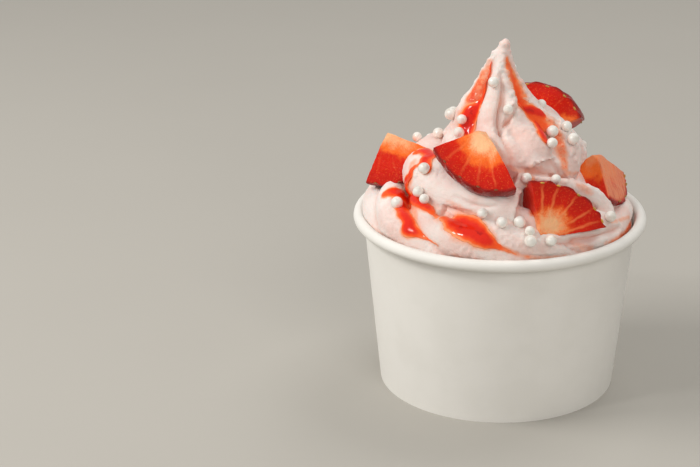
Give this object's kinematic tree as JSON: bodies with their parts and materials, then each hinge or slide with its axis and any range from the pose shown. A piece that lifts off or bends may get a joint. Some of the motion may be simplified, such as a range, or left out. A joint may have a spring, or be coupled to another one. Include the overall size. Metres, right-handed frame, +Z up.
{
  "type": "cup of soft ice cream with strawberries",
  "caption": "Swirl of pink soft ice cream in a white paper cup, topped with strawberry wedges, sugar pearls and red sauce.",
  "frame": {"origin": "centre of the underside of the cup's foot, on the surface it stands on", "axes": "+Z up along the cup's axis, -Y towards the front that the picture shows, +X to its right"},
  "size_m": [0.0958, 0.0958, 0.1162],
  "materials": {
    "cup_paper": "matte coated white paper",
    "ice_cream": "matte pale pink soft ice cream, with glossy red sauce and pearly white sugar balls on it",
    "strawberry": "wet cut strawberry"
  },
  "bodies": {
    "root": {"cup_wall": "cup_paper", "cup_bottom": "cup_paper", "ice_cream": "ice_cream", "strawberry_left": "strawberry", "strawberry_front": "strawberry", "strawberry_right_front": "strawberry", "strawberry_right": "strawberry", "strawberry_back": "strawberry"}
  },
  "joints": []
}
